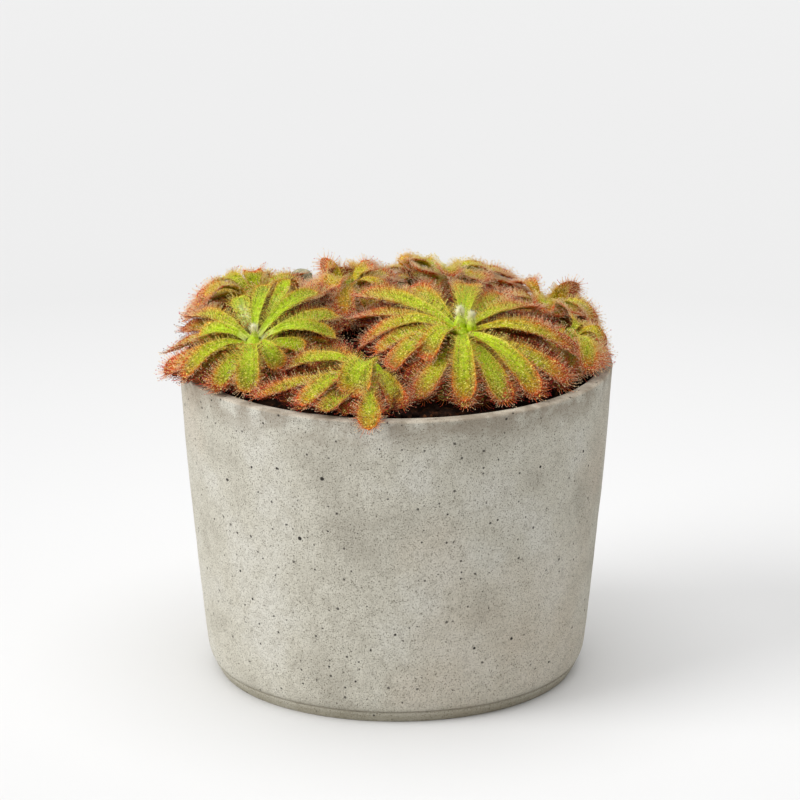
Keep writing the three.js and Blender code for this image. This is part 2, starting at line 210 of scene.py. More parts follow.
HAIR_COLOURS = Values(  # the first two from root to bead
    young=[(0.0, (200, 212, 40)), (0.5, (236, 224, 86)), (0.8, (240, 170, 66)), (1.0, (220, 100, 46))],
    old=[(0.0, (226, 122, 32)), (0.5, (240, 124, 70)), (0.8, (228, 84, 64)), (1.0, (204, 50, 52))],
    # The dark colour marks dark hairs at random and is painted shade on older leaves' hairs.
    dark=(78, 24, 14),
    dew=((252, 244, 112), (255, 230, 184)),  # pale hairs, partly their own pale stalks and partly painted glints of the drops, of young and old ones
)
SILK_COLOURS = Values(
    tuft=[(0.2, (216, 224, 84)), (0.55, (252, 244, 160)), (0.9, (255, 252, 214))],
    dull=(222, 214, 110),
)
PAPER = Values(
    # The outwards ramp is painted light: brighter round the pot, darker further out.
    outwards=[(0.0, (234, 234, 234)), (0.25, (217, 217, 217)), (1.0, (220, 220, 220))],
    cloud=(221, 221, 221),
)

# ---- stage and camera ----
FLOOR_HALF = 3000.0
SKY = 0.58  # strength of the white sky
SUNS = [
    Values(name="soft_key", azimuth=20, elevation=28, strength=1.9, softness=40),
    Values(name="soft_top", azimuth=0, elevation=90, strength=1.15, softness=60),
]
CAMERA = Values(lens=180, sensor=36, place=(1.01, -976.9, 359.9), tilt=73.47)

# A rosette stands at crown = [x, y, height above the rim] and its face leans by lean = [x, y] for 1 up.
# Each leaf is [x, y, z, arch, blush, turn]: its tip from the pot's axis and the rim's plane, how far it
# arches above the straight line there, how red it has ripened (0 to 1) and, in radians, its turn about its
# own length. By their place in the list, leaves have that breadth (a share of the width), that hairy share
# of the hairs, or are stalked, thin up to there. A bud is [x, y, height]. A curl is [leaf, radius,
# ripeness], the knob of a curled leaf tip. Dense ones are older, with more leaves under the others. Haze is
# how much paler their hairs are, and coat how many times as many there are.
# A higher haze gives more pale hairs with painted glints and fewer dark ones.
ROSETTES = [
    {
        "name": "left", "crown": [-35.6, -14, 9.3], "lean": [-0.1, -0.36], "width": 5.6,
        "buds": [[0.2, 0, 3.6]], "breadth": {7: 0.85, 8: 0.72, 9: 0.72, 10: 0.8},
        "hairy": {4: 0.6, 7: 0.5, 8: 0.3, 9: 0.3, 10: 0.5, 11: 0.6, 12: 0.7, 13: 0.8},
        "leaves": [
            [-36.5, -35.2, 1.5, 4, 0.1], [-43.8, -31, 1.6, 3.5, 0.15], [-52.8, -22.2, 1.7, 3.5, 0.3],
            [-57.8, -15.6, 0.8, 4, 0.55], [-49.4, -8.6, 8.8, 2.5, 0.05], [-57, -3, 3, 4.5, 0.4],
            [-51.6, 3.6, 10.6, 3, 0.3], [-39.8, 7.5, 14.4, 2, -0.4], [-33.2, 9, 17, 1.5, 0],
            [-27.8, 9, 18.6, 1.5, -0.1], [-20.3, 6, 16.2, 2.5, 0.05], [-15, 0, 11.6, 3.5, 0.05],
            [-15.4, -9.5, 8.6, 3.5, 0], [-22.8, -17, 7.5, 2.5, 0.05], [-28.6, -24.5, 4.5, 3, 0.15],
            [-53.4, 2, 8, 3, 0.4],
        ],
    },
    {
        "name": "right", "crown": [16.4, -16, 12.4], "lean": [0, -0.3], "width": 6.2,
        "buds": [[-0.4, 1.2, 5.4], [2.4, 0.4, 4.4]],
        "leaves": [
            [16.9, -39.8, 0.6, 5, 0.2], [26.9, -40.8, 0.7, 4.5, 0.15], [34.6, -36.8, 1.5, 4, 0.25],
            [42.4, -29, 2.6, 4, 0.45], [45.5, -15.5, 6, 4, 0.55], [39.6, -4.5, 9.6, 3.5, 0.45],
            [35.2, 4.8, 12.4, 2.5, 0.4], [27, 9, 14.8, 2, 0.25], [18.4, 10.5, 16.8, 1.5, 0.1],
            [4, 9, 16.8, 2.5, 0.3], [-9, 7, 15.4, 2.5, 0.25], [-10.6, 0, 10.8, 4.5, 0.45],
            [-8.6, -8.5, 6.2, 5, 0.4], [-5, -16.5, 6.4, 5, 0.25], [-1.8, -25.5, 4.4, 4, 0.35],
            [5.4, -40, 1.2, 2.4, 0.4], [7.2, -27, 7.4, 4.5, 0.3],
        ],
    },
    {
        "name": "front", "crown": [-5.4, -27.5, 6.2], "haze": -0.1, "lean": [-0.1, -0.3],
        "width": 6, "breadth": {4: 1.45}, "stalked": {5: 0.62},
        "leaves": [
            [-27.2, -22.5, 4.4, 3, 0.25], [-34.8, -38, 1.3, 3, 0.45], [-22.8, -46.6, 1.4, 3, 0.25],
            [-17.3, -51.8, 1.6, 3, 0.1], [-10.4, -45.5, 3.4, 6.5, 0.15], [-6.4, -58, -1.2, 6, 0.2],
            [1.2, -48, 1.2, 2.5, 0.45], [-17, -13, 5.4, 1.5, 0.2],
        ],
    },
    {
        "name": "back_left", "crown": [-36, 19, 12], "lean": [-0.2, -0.05], "width": 6,
        "curls": [[5, 3, DRIED]], "dense": True, "haze": 0.3, "coat": 1.4, "hairy": {5: 0.2},
        "leaves": [
            [-53, 12, 7.4, 3.5, 0.55], [-51.6, 20, 8.6, 4, 0.45], [-46.8, 29, 10.8, 4, 0.35],
            [-40, 36, 9.6, 4, 0.45], [-36.4, 22.5, 17, 1.5, 0.25], [-24.6, 30, 13.8, 3.5, 0.4],
            [-33, 42.5, 5, 5.5, 0.5], [-45, 39, 3, 5, 0.5], [-24, 22, 13.5, 3, 0.3],
            [-53, 30, 3, 6, 0.6], [-50, 10, 11.5, 4.5, 0.6], [-28, 12, 7, 4, 0.6],
            [-25, 40, 2.5, 6, 0.6],
        ],
    },
    {
        "name": "middle", "crown": [-12.6, 19, 15.5], "lean": [-0.05, -0.15], "width": 6,
        "breadth": {0: 1.4, 1: 1.4, 2: 1.2}, "dense": True, "haze": 0.35, "coat": 1.4,
        "hairy": {0: 1.4, 1: 1.4},
        "leaves": [
            [-18.9, 21.2, 16.7, 1.1, 0.6, -0.9], [-14.4, 22, 18.6, 0.5, 0.65],
            [-6, 21.5, 18.4, 1, 0.55], [-0.5, 21.5, 15.5, 3, 0.5], [-6, 33, 12, 4, 0.6],
            [-18, 36.5, 9, 5, 0.65], [-13, 3, 8, 3.5, 0.75], [-21.5, 8, 14, 3.5, 0.65],
            [-23.5, 11, 11, 3.5, 0.7], [-5.5, 8.5, 8.5, 4, 0.6], [-9, 37, 4, 5, 0.7],
            [-25.5, 25, 7, 4, 0.6], [0.5, 12.5, 9, 4, 0.6], [0.4, 24, 14.6, 2.8, 0.65],
            [-17.3, 9.1, 14.8, 3, 0.6],
        ],
    },
    {
        "name": "back", "crown": [12, 28, 14.8], "lean": [0.1, 0], "width": 6,
        "buds": [[0, 0, 3]], "curls": [[0, 2.1, 0.6]], "dense": True, "haze": 0.75, "coat": 1.3,
        "leaves": [
            [2.6, 25, 19.4, 2, 0.45], [6.4, 17.5, 18.6, 2, 0.35], [14, 16.5, 17.4, 2.5, 0.45],
            [23.5, 20, 15, 3, 0.5], [25, 31, 13.6, 3, 0.45], [30.6, 31, 13, 4, 0.6],
            [24, 44, 5.5, 5, 0.55], [11.5, 49.5, 4, 6, 0.6], [-1, 47.5, 4, 6, 0.55],
            [-12, 46, 4, 7, 0.6], [3, 36, 12, 4, 0.45], [9, 17, 10, 5, 0.6], [22, 20, 10.5, 4, 0.6],
            [34, 27, 10.4, 3.5, 0.65], [29, 44, 2, 6, 0.65],
        ],
    },
    {
        "name": "right_back", "crown": [38, 17, 9.6], "lean": [0.2, -0.05], "width": 5.6,
        "breadth": {0: 1.5}, "dense": True, "haze": 0.35, "coat": 1.6, "hairy": {0: 2.2},
        "leaves": [
            [45, 18.5, 11, 2, 0.7, 1], [45.4, 6.5, 10.2, 3.5, 0.4], [50.6, 9, 6.4, 4, 0.45],
            [50.6, 19, 4.4, 4, 0.6], [45, 29.5, 3.6, 4.5, 0.6], [38, 37, 3.4, 5, 0.6],
            [32.4, 24, 13.6, 2.5, 0.85], [30.5, 8, 9, 4, 0.55], [50.5, 25, 2.5, 5, 0.65],
            [28, 14, 12, 3.5, 0.6], [37, 6.5, 10.6, 3, 0.45],
        ],
    },
    {
        "name": "far_right", "crown": [44.2, -3, 8.6], "lean": [0.3, -0.25], "width": 5.4,
        "dense": True, "haze": 0.25, "coat": 1.3,
        "leaves": [
            [47.6, -20, 2.8, 3.2, 0.4], [51.4, -11.5, 2.6, 3.5, 0.5], [52.2, -4, 3.4, 3.2, 0.55],
            [51.2, 3, 4.6, 3, 0.5], [41, -20, 0.4, 2, 0.5], [34, -10, 2.5, 3, 0.5],
            [46.6, 5.6, 7.4, 1.5, 0.5],
        ],
    },
]


# ---- small maths ----
def smooth(x):
    """0 to 1 with a soft start and end."""
    t = np.clip(x, 0, 1)
    return t * t * (3 - 2 * t)


def unit(v):
    """Vectors scaled to length 1."""
    return v / np.maximum(np.linalg.norm(v, axis=-1, keepdims=True), 1e-9)


def draw(seed):
    """The repeatable draw between -0.5 and 0.5 that the part's source uses."""
    s = math.sin(seed * 12.9898 + 4.1414) * 43758.5453
    return s - math.floor(s) - 0.5


def rough(points, size, octaves=3):
    """Fractal noise of about -1 to 1 at points, with features of that size."""
    return np.array([noise.fractal(Vector(p) / size, 1.0, 2.0, octaves) for p in points])


def round_about(angles):
    """Level directions at those angles."""
    return np.stack([np.cos(angles), np.sin(angles), np.zeros(len(angles))], 1)


def full_turn(count):
    """Evenly spaced angles all the way round."""
    return np.linspace(0, 2 * math.pi, count, endpoint=False)


# ---- meshes ----
class Pile:
    """The parts of one piece, joined as they come: points in mm, triangles, materials and looks.

    A look is three values for each point, which the materials read: ripeness, a place (along a hair, or
    towards a leaf's margin) and tone (of a hair or a grain, or how dark a blade is, which carries painted
    shade).
    """

    def __init__(self):
        self.points, self.faces, self.kinds, self.looks = [], [], [], []
        self.count = 0

    def add(self, points, faces, kind, looks):
        self.points.append(points)
        self.faces.append(faces + self.count)
        self.kinds.append(np.full(len(faces), kind))
        self.looks.append(np.broadcast_to(looks, (len(points), 3)).copy())
        self.count += len(points)

    def build(self, name, materials):
        parts = [np.concatenate(rows) for rows in (self.points, self.faces, self.kinds, self.looks)]
        return mesh_object(name, materials, *parts)


def mesh_object(name, materials, points, faces, kinds=None, looks=None):
    """A smooth triangle mesh in metres from points in mm."""
    mesh = bpy.data.meshes.new(name)
    mesh.vertices.add(len(points))
    mesh.vertices.foreach_set("co", (points * MM).astype(np.float32).ravel())
    mesh.loops.add(3 * len(faces))
    mesh.loops.foreach_set("vertex_index", np.asarray(faces, dtype=np.int32).ravel())
    mesh.polygons.add(len(faces))
    mesh.polygons.foreach_set("loop_start", np.arange(0, 3 * len(faces), 3, dtype=np.int32))
    mesh.polygons.foreach_set("use_smooth", np.ones(len(faces), dtype=bool))
    for material in materials:
        mesh.materials.append(material)
    if kinds is not None:
        mesh.polygons.foreach_set("material_index", kinds.astype(np.int32))
    if looks is not None:
        layer = mesh.attributes.new("look", "FLOAT_VECTOR", "POINT")
        layer.data.foreach_set("vector", looks.astype(np.float32).ravel())
    mesh.update(calc_edges=True)
    mesh.validate()
    return add_object(name, mesh)


def add_object(name, data):
    """A new object in the scene, with that data."""
    obj = bpy.data.objects.new(name, data)
    bpy.context.scene.collection.objects.link(obj)
    return obj


def grid_faces(rows, columns):
    """Triangles of a grid of points, row by row, whose last column joins its first."""
    faces = []
    for i in range(rows - 1):
        for j in range(columns):
            a, b = i * columns + j, i * columns + (j + 1) % columns
            c, d = a + columns, b + columns
            faces += [(a, b, d), (a, d, c)]
    return np.array(faces)


def turned(radii, heights, sides):
    """Points of a body turned about Z, ring by ring."""
    rings = round_about(full_turn(sides))
    return np.concatenate([rings * radius + UP * height for radius, height in zip(radii, heights)])


def hairs(pile, hair, kind, roots, ways, bends, lengths, looks):
    """Tapering three-sided stalks, some with a joint, each with a four-sided bead on its end."""
    ways, bends = unit(ways), unit(ways + bends)
    side = unit(np.cross(ways, [0.31, 0.22, 0.93]))
    other = np.cross(ways, side)
    ring = [side * math.cos(angle) + other * math.sin(angle) for angle in full_turn(3)]
    lengths = np.asarray(lengths)[:, None]
    joints = roots + ways * lengths * hair.joint
    ends = joints + bends * lengths * (1 - hair.joint)
    points = [roots + way * hair.radius for way in ring]
    if hair.joint:
        points += [joints + way * hair.radius * 0.75 for way in ring]
    points.append(ends)
    points += [ends + (way - bends * 0.5) * hair.bead for way in ring]
    points.append(ends + bends * hair.bead * 1.6)
    size = len(points)
    pattern, along = hair_pattern(bool(hair.joint))
    faces = (pattern[None] + size * np.arange(len(roots))[:, None, None]).reshape(-1, 3)
    values = np.repeat(looks, size, axis=0)
    values[:, 1] = np.tile(along, len(roots))
    pile.add(np.stack(points, axis=1).reshape(-1, 3), faces, kind, values)


def hair_pattern(jointed):
    """Triangles of one hair, and how far along it each of its points lies."""
    stalk = [(0, 1, 4), (0, 4, 3), (1, 2, 5), (1, 5, 4), (2, 0, 3), (2, 3, 5)] if jointed else []
    top = 3 if jointed else 0
    point, a, b, c, end = range(top + 3, top + 8)
    stalk += [(top, top + 1, point), (top + 1, top + 2, point), (top + 2, top, point)]
    bead = [(a, b, end), (b, c, end), (c, a, end), (a, c, b)]
    along = [0] * 3 + ([0.5] * 3 if jointed else []) + [0.8] + [0.9] * 3 + [1]
    return np.array(stalk + bead), np.array(along)


# ---- leaves ----
def spoon(leaf, t):
    """Share of the full width at t along the leaf: a narrow stalk, a broad spoon and a round end."""
    x = np.clip((t - leaf.stalk) / (LEAF.broad_at - leaf.stalk), 0, 1)
    body = LEAF.root_share + (1 - LEAF.root_share) * (x + smooth(x)) / 2
    end = np.clip((t - LEAF.round_from) / (1 - LEAF.round_from), 0, 1)
    return body * np.sqrt(np.maximum(1 - end * end, 0.0009))


def leaf_of(rosette, row, index, breadth=1.0, stalk=0.0, shade=0.0):
    """A leaf's midrib curve from its root to its tip, its width, roll and colour."""
    x, y, z, arch, blush, *turn = row
    crown = np.array(rosette["crown"], dtype=float)
    tier = index % 2
    axis = unit(np.array([*rosette["lean"], 1.0]))
    tip = np.array([x, y, z]) - crown
    heading = unit(tip - axis * (tip @ axis))
    across = np.cross(axis, heading)
    base = heading * LEAF.root_radius
    base[2] -= LEAF.root_drop + LEAF.tier_step * tier
    middle = (base + tip) / 2 + axis * 2 * (arch - LEAF.tier_sag * tier)
    middle = middle + across * LEAF.sway * draw(index + crown[0])
    place = crown + UP * POT.height
    return Values(
        base=base + place, middle=middle + place, tip=tip + place,
        length=np.linalg.norm(tip - base), across=across, stalk=stalk,
        width=rosette["width"] * breadth * (1 + LEAF.vary * draw(index * 7 + crown[0])),
        roll=LEAF.roll * draw(index * 3 + crown[1]) + sum(turn),
        tone=0.5 + draw(index * 5 + crown[0]), blush=blush, shade=shade,
    )


def leaf_frame(leaf, t):
    """The midrib at t, with the directions along the leaf, to its left and up from its face."""
    t = np.asarray(t, dtype=float)[:, None]
    middle = (1 - t) ** 2 * leaf.base + 2 * t * (1 - t) * leaf.middle + t * t * leaf.tip
    along = unit((1 - t) * (leaf.middle - leaf.base) + t * (leaf.tip - leaf.middle))
    up = unit(np.cross(along, leaf.across))
    left = np.cross(up, along)
    cos, sin = math.cos(leaf.roll), math.sin(leaf.roll)
    return middle, along, left * cos + up * sin, up * cos - left * sin


def to_margin(leaf, t, side):
    """0 in the middle of the blade to 1 at its margin, sides and round end alike."""
    from_tip = (1 - t) * leaf.length / (leaf.width / 2)
    return np.maximum(np.abs(side), np.clip(1 - from_tip, 0, 1))


def relief(leaf, t, side):
    """How far the rolled margin, its waves and the groove stand off the cupped blade."""
    groove = LEAF.groove * np.exp(-((side / LEAF.groove_width) ** 2)) * (1.1 - t)
    wave = LEAF.wave * np.sin(t * LEAF.wave_rate + leaf.roll * 40) * side * side
    inwards = (1 - to_margin(leaf, t, side)) / LEAF.rim_width
    rim = np.exp(-(inwards**2)) * LEAF.rim * smooth(t / LEAF.rim_full)
    return wave + rim - groove


def leaf_point(leaf, t, side, depth=0.0):
    """Points of the blade's face at t and side (-1 to 1), or depth below it, with their directions."""
    middle, along, left, up = leaf_frame(leaf, t)
    half = leaf.width / 2 * spoon(leaf, t)
    cup = half * LEAF.cup * side * side * (1 + LEAF.root_cup * (1 - t) ** 2)
    rise = cup + relief(leaf, t, side) - depth
    point = middle + left * (half * side)[:, None] + up * rise[:, None]
    return point, along, left, up


def ripeness(leaf, t, side):
    """How red the blade is: pale at the root, lime in the middle, red at margin and tip."""
    blush = max(leaf.blush, 0)
    tip = smooth((t - RIPE.tip_from) / (1 - RIPE.tip_from)) * (RIPE.tip[0] + RIPE.tip[1] * blush)
    edge = to_margin(leaf, t, side) ** 3 * smooth((t - RIPE.edge_from) / 0.5)
    edge = edge * (RIPE.edge[0] + RIPE.edge[1] * blush)
    fresh = RIPE.fresh + 0.4 * min(leaf.blush, 0)
    return (fresh + RIPE.blushed * blush + tip + edge) * smooth((t + 0.06 + 0.3 * blush) / RIPE.root)


def darkness(leaf, t, side):
    """How dark the blade is: painted shade under other leaves and, dark green, in the hollow of its tip,
    and a random tone.
    """
    # Painted shade in the hollow of the tip, less on blushed leaves.
    green = (DARK.hollow[0] + DARK.hollow[1] * leaf.tone) * (1 - max(leaf.blush, 0))
    hollow = smooth((t - DARK.hollow_from) / 0.35) * (1 - to_margin(leaf, t, side) ** 2) * green
    return np.clip(leaf.shade + DARK.tone * leaf.tone + hollow, 0, 1)


def add_blade(pile, leaf, stations):
    """The blade as one closed skin round its margin."""
    t = 1 - (1 - np.linspace(0, 1, stations)) ** LEAF.crowding
    upper = np.sin(np.linspace(-math.pi / 2, math.pi / 2, LEAF.upper))
    lower = np.linspace(LEAF.lower_reach, -LEAF.lower_reach, LEAF.lower)
    side = np.concatenate([upper, lower])
    depth = np.concatenate([np.zeros(LEAF.upper), LEAF.thickness * (1 - 0.7 * lower**2)])
    t, side, depth = np.repeat(t, len(side)), np.tile(side, stations), np.tile(depth, stations)
    thinner = 1 - 0.6 * smooth((t - 0.85) / 0.15)
    points, *_ = leaf_point(leaf, t, side, depth * thinner)
    looks = np.stack([ripeness(leaf, t, side), to_margin(leaf, t, side), darkness(leaf, t, side)], 1)
    pile.add(points, grid_faces(stations, LEAF.upper + LEAF.lower), BLADE, looks)


def hair_looks(ripe, haze, rng):
    """Looks of hairs: the ripeness at their roots, and a tone that haze makes paler."""
    tone = np.clip(rng.random(len(ripe)) + haze, 0, 1)
    return np.stack([ripe, np.zeros(len(ripe)), tone], 1)


def add_margin_hairs(pile, leaf, haze, rng, share):
    """The comb of long hairs round the margin, evenly spaced along its outline."""
    hair = MARGIN_HAIR
    t = np.linspace(hair.start, 1, 240)
    half = leaf.width / 2 * spoon(leaf, t)
    steps = np.hypot(np.diff(t) * leaf.length, np.diff(half))
    outline = np.concatenate([[0], np.cumsum(steps)])
    for side in (-1.0, 1.0):
        places = np.arange(rng.uniform(*hair.first), outline[-1], hair.spacing / share)
        places += rng.uniform(-hair.stray, hair.stray, len(places))
        at = np.interp(places, outline, t)
        slope = np.interp(at, t, np.gradient(half, t * leaf.length))
        roots, along, left, up = leaf_point(leaf, at, np.full(len(at), side * hair.inset), hair.sink)
        outward = unit(left * side - along * slope[:, None])
        ways = outward + along * hair.forward + up * rng.uniform(*hair.lift, (len(at), 1))
        ways += rng.normal(0, hair.scatter, ways.shape)
        lengths = hair.length * (hair.root_length + (1 - hair.root_length) * at)
        lengths *= rng.uniform(*hair.vary, len(at))
        ripe = ripeness(leaf, at, side) + hair.redder
        # Painted shade: an older leaf's shade darkens its hairs.
        looks = hair_looks(ripe, haze - DARK.under_margin * leaf.shade, rng)
        bends = up * hair.curl + rng.normal(0, hair.curl_scatter, ways.shape)
        hairs(pile, hair, HAIR, roots, ways, bends, lengths, looks)


def face_places(leaf, rng, share):
    """Where the face's hairs stand: t and side, fewer near the root and along the middle."""
    hair = FACE_HAIR
    area = leaf.length * leaf.width * hair.fill * (1 - hair.start)
    order = np.arange(int(area * hair.per_mm2 * share))
    u = (order * SCATTER[0] + rng.random()) % 1
    v = (order * SCATTER[1] + rng.random()) % 1
    t = hair.start + (hair.end - hair.start) * u ** hair.crowding[0]
    side = hair.reach * (2 * v - 1)
    side = np.sign(side) * np.abs(side) ** hair.crowding[1]
    outer = hair.middle + (1 - hair.middle) * np.abs(side)
    kept = rng.random(len(order)) < hair.fewest + (1 - hair.fewest) * smooth((t - 0.3) / 0.35) * outer
    return t[kept], side[kept]


def add_face_hairs(pile, leaf, haze, rng, share):
    """Shorter hairs over the upper face, leaning outwards, denser and longer towards the margin."""
    hair = FACE_HAIR
    t, side = face_places(leaf, rng, share)
    roots, along, left, up = leaf_point(leaf, t, side, hair.sink)
    ways = up * hair.lift + left * (hair.outward * side)[:, None]
    ways += along * (hair.forward * (t - 0.4))[:, None]
    ways += rng.normal(0, hair.scatter, ways.shape)
    reach = hair.root_length + (1 - hair.root_length) * smooth(t / 0.5) + hair.margin_length * side**2
    lengths = hair.length * reach * rng.uniform(*hair.vary, len(t))
    # Painted shade: an older leaf's shade darkens its hairs.
    looks = hair_looks(ripeness(leaf, t, side), haze + hair.paler - DARK.under_face * leaf.shade, rng)
    bends = rng.normal(0, hair.curl_scatter, ways.shape)
    hairs(pile, hair, HAIR, roots, ways, bends, lengths, looks)


def add_leaf(pile, leaf, haze, rng, stations, share):
    """A blade with its hairs. The share counts less along the margin, which keeps its comb."""
    add_blade(pile, leaf, stations)
    add_margin_hairs(pile, leaf, haze, rng, 0.6 + 0.4 * share)
    add_face_hairs(pile, leaf, haze, rng, share)


# ---- crowns ----
def add_stem(pile, rosette):
    """The short stem, from inside the crown down into the soil."""
    x, y, z = rosette["crown"]
    heights = np.linspace(POT.height + z + STEM.top, POT.height + STEM.foot, len(STEM.radii))
    points = turned(STEM.radii, heights, STEM.sides) + [x, y, 0]
    faces = grid_faces(len(heights), STEM.sides)[:, ::-1]
    cap = np.array([(0, j, j + 1) for j in range(1, STEM.sides - 1)])
    heart = OLD_HEART if "dense" in rosette else YOUNG_HEART
    pile.add(points, np.concatenate([faces, cap]), BLADE, heart)


def bud_outline(level):
    """Share of a bud's radius at that level, from 0 at its foot to 1 at its top."""
    return 1 + HUB - level**BUD.fullness


def add_bud(pile, rosette, bud, rng):
    """A furled young leaf: a green cone under silky hairs, which stand closest round its top."""
    x, y, height = bud
    foot = np.array(rosette["crown"], dtype=float) + [x, y, POT.height - BUD.sink]
    radius = BUD.slim * height
    level = np.linspace(0, 1, BUD.rings)
    points = turned(radius * bud_outline(level), level * height, BUD.sides) + foot
    young = np.repeat(0.26 - 0.14 * level, BUD.sides)
    looks = np.stack([young, young * 0 + 0.3, young * 0], 1)
    pile.add(points, grid_faces(BUD.rings, BUD.sides), BLADE, looks)
    count = int(SILK.per_mm * height)
    out = round_about(np.arange(count) * GOLDEN_TURN)
    level = rng.random((count, 1)) ** SILK.crowding
    roots = foot + out * radius * bud_outline(level) + UP * level * height
    ways = out * (0.9 - 0.2 * level) + UP * (0.3 + 0.6 * level) + rng.normal(0, SILK.scatter, out.shape)
    lengths = SILK.length * (0.4 + 0.6 * level[:, 0]) * rng.uniform(*SILK.vary, count)
    bends = rng.normal(0, SILK.curl_scatter, ways.shape)
    hairs(pile, SILK, SILKEN, roots, ways, bends, lengths, np.repeat(level, 3, axis=1))


def add_curl(pile, rosette, curl, haze, rng):
    """The knob of a leaf's curled tip. It has hairs unless it has dried."""
    index, radius, ripe = curl
    tip = leaf_of(rosette, rosette["leaves"][index], index).tip
    level = np.linspace(-math.pi / 2, math.pi / 2, CURL.rings)
    points = turned(radius * np.cos(level), radius * CURL.flat * np.sin(level), CURL.sides)
    points *= 1 + CURL.rough * rough(points + radius, CURL.rough_size)[:, None]
    pile.add(points + tip, grid_faces(CURL.rings, CURL.sides), BLADE, [ripe, 0.3, 0.0])
    if ripe < WITHERED:
        ways = unit(rng.normal(0, 1, (CURL.hairs, 3)) + UP * 0.5)
        roots = tip + ways * radius * [1, 1, CURL.flat]
        looks = hair_looks(np.full(CURL.hairs, ripe), haze, rng)
        hairs(pile, FACE_HAIR, HAIR, roots, ways, ways * 0, np.full(CURL.hairs, CURL.hair_length), looks)


def lowest(place):
    """The least height above the rim's plane at which a leaf clears the soil and the rim."""
    reach = np.hypot(*place)
    over_soil = float(soil_top(reach)) - POT.height + CLEAR.soil
    over_rim = float(smooth((reach - CLEAR.rim_from) / (CLEAR.rim_to - CLEAR.rim_from)))
    return over_soil + (CLEAR.rim - over_soil) * over_rim


def under_rows(rosette, layer):
    """A layer of older leaves under the others, lower and redder."""
    x, y, _ = rosette["crown"]
    rows = sorted(rosette["leaves"], key=lambda row: math.atan2(row[1] - y, row[0] - x))
    older = []
    for row, following in zip(rows, rows[1:] + rows[:1]):
        ways = [np.array(r[:2]) - (x, y) for r in (row, following)]
        way = unit(unit(ways[0]) * (1 - layer.between) + unit(ways[1]) * layer.between)
        reach = (np.linalg.norm(ways[0]) + np.linalg.norm(ways[1])) / 2 * layer.reach
        tip = np.array([x, y]) + way * reach
        height = max((row[2] + following[2]) / 2 - layer.drop, lowest(tip))
        blush = (max(row[4], 0) + max(following[4], 0)) / 2 + layer.redder
        older.append([*tip, height, layer.arch, blush])
    return older


def add_skirt(pile, rosette, rng):
    """Withered brown leaves that hang round the stem, down to the soil."""
    x, y, z = rosette["crown"]
    for k in range(SKIRT.leaves):
        out = round_about([k * GOLDEN_TURN + rng.uniform(-SKIRT.stray, SKIRT.stray)])[0]
        root = np.array([x, y, POT.height + z - rng.uniform(*SKIRT.root_drop)]) + out * LEAF.root_radius
        tip = np.array([x, y, 0]) + out * SKIRT.length * rng.uniform(*SKIRT.reach)
        tip[2] = float(soil_top(np.hypot(*tip[:2]))) + rng.uniform(*SKIRT.above_soil)
        leaf = Values(
            base=root,
            middle=(root + tip) / 2 + out * SKIRT.bulge + UP * (root[2] - tip[2]) * SKIRT.arch,
            tip=tip, length=np.linalg.norm(root - tip), across=np.cross(UP, out),
            width=SKIRT.width * rng.uniform(*SKIRT.vary), stalk=0.0,
            roll=rng.uniform(-SKIRT.roll, SKIRT.roll),
            tone=rng.random(), blush=SKIRT.blush, shade=0.0,
        )
        add_blade(pile, leaf, SKIRT.stations)
        pile.looks[-1][:, 0] = WITHERED


def build_rosette(number, rosette, materials):
    """One plant: leaves, older ones under them, buds, curled tips, withered leaves and stem."""
    rng = np.random.default_rng(100 + number)
    pile = Pile()
    haze = rosette.get("haze", 0)
    coat = rosette.get("coat", 1.0)
    breadths, stalks, shares = (rosette.get(key, {}) for key in ("breadth", "stalked", "hairy"))
    for index, row in enumerate(rosette["leaves"]):
        leaf = leaf_of(rosette, row, index, breadths.get(index, 1.0), stalks.get(index, 0.0))
        add_leaf(pile, leaf, haze, rng, LEAF.stations, coat * shares.get(index, 1.0))
    for layer in UNDER_DENSE if "dense" in rosette else UNDER_OPEN:
        for index, row in enumerate(under_rows(rosette, layer)):
            leaf = leaf_of(rosette, row, 2 * index + 1, shade=layer.shade)
            add_leaf(pile, leaf, haze, rng, LEAF.under_stations, coat * layer.hair_share)
    for bud in rosette.get("buds", []):
        add_bud(pile, rosette, bud, rng)
    for curl in rosette.get("curls", []):
        add_curl(pile, rosette, curl, haze, rng)
    add_skirt(pile, rosette, rng)
    add_stem(pile, rosette)
    return pile.build("sundew_" + rosette["name"], materials)


# ---- pot ----
def wall_radius(z):
    """Radius of the pot's outside at that height."""
    t = z / POT.height
    return POT.base_radius + (POT.rim_radius - POT.base_radius) * t + POT.bow * 4 * t * (1 - t)


def inner_radius(z):
    """Radius of the pot's inside at that height."""
    return wall_radius(z) - POT.wall


def rounded(a, corner, b, steps=6):
    """Points on a curve that rounds a profile's corner between a and b."""
    t = np.linspace(0, 1, steps)[:, None]
    a, corner, b = (np.array(p, dtype=float) for p in (a, corner, b))
    return (1 - t) ** 2 * a + 2 * t * (1 - t) * corner + t * t * b


def foot_profile():
    """[radius, height] pairs of the foot and its softened band, up to the wall."""
    foot, band, top = POT.foot_radius, POT.band_radius, POT.band_height
    corner = [wall_radius(POT.corner_height), POT.corner_height]
    return [
        [[HUB, 0], [foot * 0.45, 0], [foot - 0.6, 0]],
        rounded([foot - 0.3, 0], [foot, 0], [foot + 0.15, 0.4], 4),
        rounded([band - 0.25, top - 0.5], [band, top], [band - 0.2, top + 0.3], 4),
        rounded([band, top + 0.5], [wall_radius(4), 4.2], corner, 8),
    ]


def rim_profile():
    """[radius, height] pairs over the rim."""
    top, rim, inner, edge = POT.height, wall_radius(POT.height), inner_radius(POT.height), POT.edge
    return [
        rounded([rim, top - edge], [rim, top], [rim - edge, top], 5),
        [[rim - 2 * edge, top], [inner + 2 * edge, top]],
        rounded([inner + edge, top], [inner, top], [inner, top - edge], 5),
    ]


